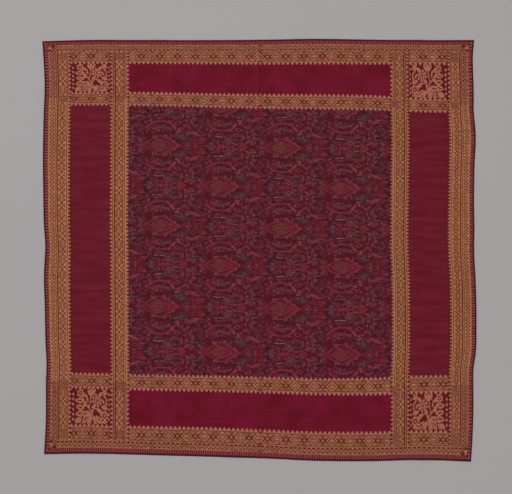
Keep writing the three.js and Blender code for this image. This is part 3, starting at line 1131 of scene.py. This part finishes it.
def dress_cloth(piece, gold):
    """Numbers that the silk's material reads, at each point of the sheet's upper face and underside."""
    none = np.zeros(grid_x.shape)
    near_side = np.minimum(grid_columns, COLUMNS - grid_columns)
    near_end = np.minimum(grid_rows, ROWS - grid_rows)
    # Painted shadow along the cloth's edge, over the hem's darker silk.
    within_hem_shade = np.maximum(DARK_COLUMNS - near_side, 0.8 * (DARK_ROWS - near_end))
    hem = np.clip(within_hem_shade / HEM_SHADE_FADE, 0, 1)
    add_value(piece, "hem", [hem, hem])
    # Painted shade of old folds, as thin dark lines.
    fold_shade = np.zeros(grid_x.shape)
    for column, first, last, dark in FOLD_SHADE_LINES:
        near = np.clip(1 - np.abs(grid_columns - column) / FOLD_SHADE_WIDE, 0, 1)
        fold_shade += dark * near * ((grid_rows >= first) & (grid_rows <= last))
    add_value(piece, "fold_shade", [fold_shade, none])
    dyed = (grid_rows > LEVEL_ROWS[3]) & (grid_rows < LEVEL_ROWS[5])
    add_value(piece, "dyed_weft", [dyed, dyed])
    i = np.clip(grid_columns.astype(int), 0, COLUMNS - 1)
    j = np.clip(grid_rows.astype(int), 0, ROWS - 1)
    covered = np.zeros(grid_x.shape)
    steps = range(-3, 4)
    for step in steps:
        found = gold[np.clip(j + step, 0, ROWS - 1), np.clip(i + step, 0, COLUMNS - 1)] > 0
        covered += found / len(steps)
    add_value(piece, "gilt_behind", [none, covered])
    # Beside the side panels the brown runs under the outer bands' teeth and just past them: painted shade
    # of the teeth.
    teeth_shade_by_panel = (near_end > INNER_TOP + INNER_DEEP) & (near_side < OUTER_WIDE + 3)
    upright = (near_side > BASE_SIDE) & ((near_side < OUTER_WIDE - 1) | teeth_shade_by_panel)
    for first in (INNER_LEFT, INNER_RIGHT):
        upright |= np.abs(grid_columns - first - INNER_WIDE / 2) < INNER_WIDE / 2 - 1
    level = (near_end > BASE_END) & (near_end < OUTER_DEEP - 2)
    for first in (INNER_TOP, INNER_FOOT):
        level |= (grid_rows > first + 2) & (grid_rows < first + INNER_DEEP - 2)
    gilt_base_and_shade = ((upright & (near_end > BASE_END)) | (level & (near_side > BASE_SIDE))).astype(float)
    sprays = (near_side > OUTER_WIDE - 4) & (near_side < INNER_LEFT) & (near_end > OUTER_DEEP - 4)
    gilt_base_and_shade[sprays & (near_end < INNER_TOP + 12) & (gilt_base_and_shade == 0)] = FAINT_BASE_AND_SHADE
    gilt_base_and_shade[teeth_shade_by_panel & (near_side > OUTER_WIDE)] = FAINT_BASE_AND_SHADE
    add_value(piece, "gilt_base_and_shade", [gilt_base_and_shade, none])


silk = silk_material()
dyed_silk = dyed_material()
gilt = gold_material()
cloth = make_cloth(silk)
dress_cloth(cloth, gold)


def only(first_row, last_row, first_column, last_column):
    """The gold chart within a block of rows and columns."""
    block = np.zeros(gold.shape, int)
    block[first_row:last_row, first_column:last_column] = 1
    return gold * block


def make_gold():
    """The gold in eight pieces: two each for the top, the foot, the sides and the rest."""
    half = COLUMNS // 2
    foot = ROWS - OUTER_DEEP
    right = COLUMNS - OUTER_WIDE
    blocks = (
        # name, first and last row, first and last column
        ("gold_top_left", 0, OUTER_DEEP, 0, half),
        ("gold_top_right", 0, OUTER_DEEP, half, COLUMNS),
        ("gold_foot_left", foot, ROWS, 0, half),
        ("gold_foot_right", foot, ROWS, half, COLUMNS),
        ("gold_left_band", OUTER_DEEP, foot, 0, OUTER_WIDE),
        ("gold_right_band", OUTER_DEEP, foot, right, COLUMNS),
        ("gold_inner_left", OUTER_DEEP, foot, OUTER_WIDE, half),
        ("gold_inner_right", OUTER_DEEP, foot, half, right),
    )
    return [make_floats(name, only(*block), gilt) for name, *block in blocks]


# Towards its foot the field grows redder, and its blue dyes bluer, from this Y down and over this
# depth, by these shares of red, green and blue.
REDDER_FROM = 60
REDDER_DEEP = 300
REDDER = (0.05, -0.07, 0.02)
BLUER = (0.0, 0.0, 0.12)


def make_field():
    """The field in two pieces, with each stretch a little apart in tone and the foot a little redder."""
    row, start, end, dye = field_runs(weave_tile())
    shown = np.array(list(DYES.values()), float)[dye]
    middle = surface((start + end) / 2, row + 0.5)
    low = np.clip((REDDER_FROM - middle[:, 1]) / REDDER_DEEP, 0, 1)[:, None]
    tone = chance.normal(1, 0.05, (len(row), 1)) * chance.normal(1, 0.03, (ROWS, 1))[row]
    names = np.array(list(DYES))[dye]
    bluer = np.isin(names, ("slate", "teal", "plum"))[:, None]
    shown = shown * tone * (1 + low * np.where(bluer, BLUER, REDDER))
    colours = to_linear(np.clip(shown, 0, 255))
    wispy = np.isin(names, QUIET)
    split = (FIELD_ROWS[0] + FIELD_ROWS[1]) // 2
    pieces = []
    for name, part in (("field_upper", row < split), ("field_lower", row >= split)):
        ribs = row[part], start[part], end[part], colours[part], wispy[part]
        pieces.append(make_ribs(name, *ribs, dyed_silk))
    return pieces


gold_pieces = make_gold()
field_pieces = make_field()

# Floor, light and camera

VIEW_WIDE = 1024.0
LENS = 85.0
SENSOR = 36.0
VIEW_MIDDLE = (-6.8, 6.6)
FLOOR_DROP = 0.3
SKY = (0.9, 0.9, 0.92, 1.0)
SKY_STRENGTH = 0.4


def make_floor():
    reach = 4.0
    mesh = bpy.data.meshes.new("floor")
    corners = [(-reach, -reach, 0), (reach, -reach, 0), (reach, reach, 0), (-reach, reach, 0)]
    mesh.from_pydata(corners, [], [(0, 1, 2, 3)])
    mesh.materials.append(floor_material())
    made = bpy.data.objects.new("floor", mesh)
    made.location.z = -FLOOR_DROP * MM
    bpy.context.collection.objects.link(made)
    return made


def make_light(name, place, aim, size, power):
    data = bpy.data.lights.new(name, "AREA")
    data.shape = "SQUARE"
    data.size = size
    data.energy = power
    lamp = bpy.data.objects.new(name, data)
    lamp.location = place
    lamp.rotation_euler = (aim - lamp.location).to_track_quat("-Z", "Y").to_euler()
    lamp.visible_camera = False
    bpy.context.collection.objects.link(lamp)


def make_camera():
    data = bpy.data.cameras.new("camera")
    data.lens = LENS
    data.sensor_width = SENSOR
    camera = bpy.data.objects.new("camera", data)
    camera.location = (VIEW_MIDDLE[0] * MM, VIEW_MIDDLE[1] * MM, VIEW_WIDE * MM * LENS / SENSOR)
    bpy.context.collection.objects.link(camera)
    bpy.context.scene.camera = camera


def light_scene():
    world = bpy.data.worlds.new("studio")
    world.use_nodes = True
    sky = world.node_tree.nodes["Background"].inputs
    sky["Color"].default_value = SKY
    sky["Strength"].default_value = SKY_STRENGTH
    bpy.context.scene.world = world
    middle = (cad_box[0] + cad_box[1]) / 2
    make_light("overhead", (-0.9, 1.1, 3.4), middle, 2.6, 82.0)
    make_light("fill", (1.6, -1.4, 3.0), middle, 2.6, 30.0)
    bpy.context.scene.view_settings.view_transform = "Standard"


floor = make_floor()
light_scene()
make_camera()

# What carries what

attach(cloth, "root")
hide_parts("headcloth")
for piece in field_pieces:
    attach(piece, "root")
for piece in gold_pieces:
    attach(piece, "root")
